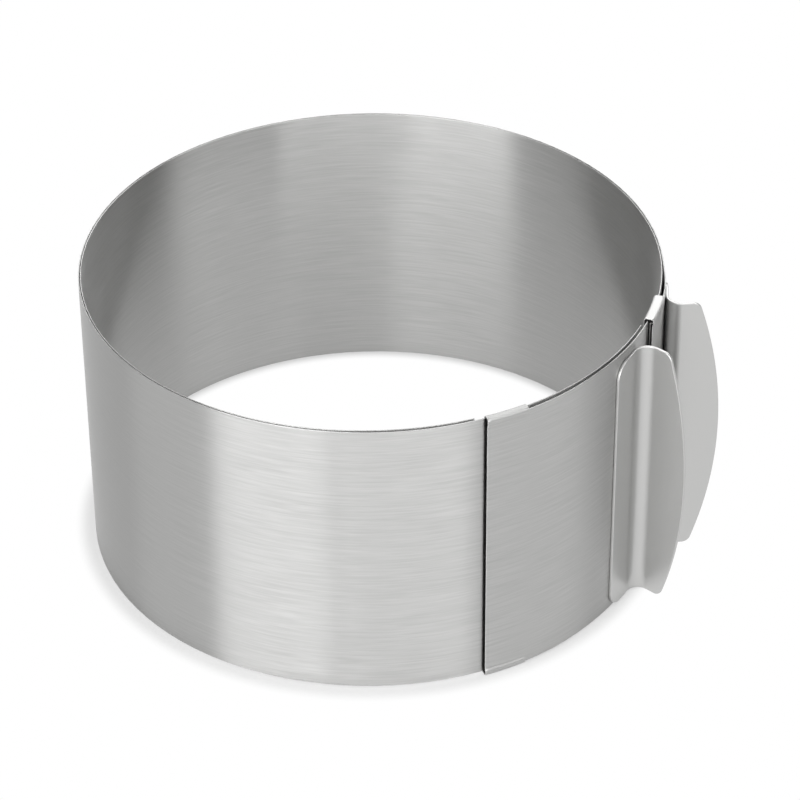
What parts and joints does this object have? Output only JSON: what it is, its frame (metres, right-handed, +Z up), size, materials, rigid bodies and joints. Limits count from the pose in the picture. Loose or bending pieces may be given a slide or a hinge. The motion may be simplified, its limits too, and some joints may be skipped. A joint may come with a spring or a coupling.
{
  "type": "adjustable cake ring",
  "caption": "Adjustable steel cake ring: two thin bands that slide round each other, held by folded tabs, each with a bent handle to pinch.",
  "frame": {"origin": "on the ring's axis, at the level of the surface that it stands on", "axes": "+Z up along the ring's axis; -Y is the side that faces the camera in the picture, and the two handles stand near +X"},
  "size_m": [0.1761, 0.1598, 0.0855],
  "materials": {
    "band_steel": "fine horizontal brushing, half bright",
    "leaf_steel": "plain rolled spring steel",
    "handle_steel": "tumbled satin"
  },
  "bodies": {
    "outer_ring": {"outer_band": "band_steel", "clamp_leaf": "leaf_steel", "outer_band_handle": "handle_steel"},
    "inner_ring": {"inner_band": "band_steel", "inner_band_handle": "handle_steel"}
  },
  "joints": [
    {"name": "band_slide", "type": "hinge", "parent": "outer_ring", "child": "inner_ring", "pos_m": [0, 0, 0], "axis": [0, 0, 1], "range_deg": [-133.6, 4]}
  ]
}
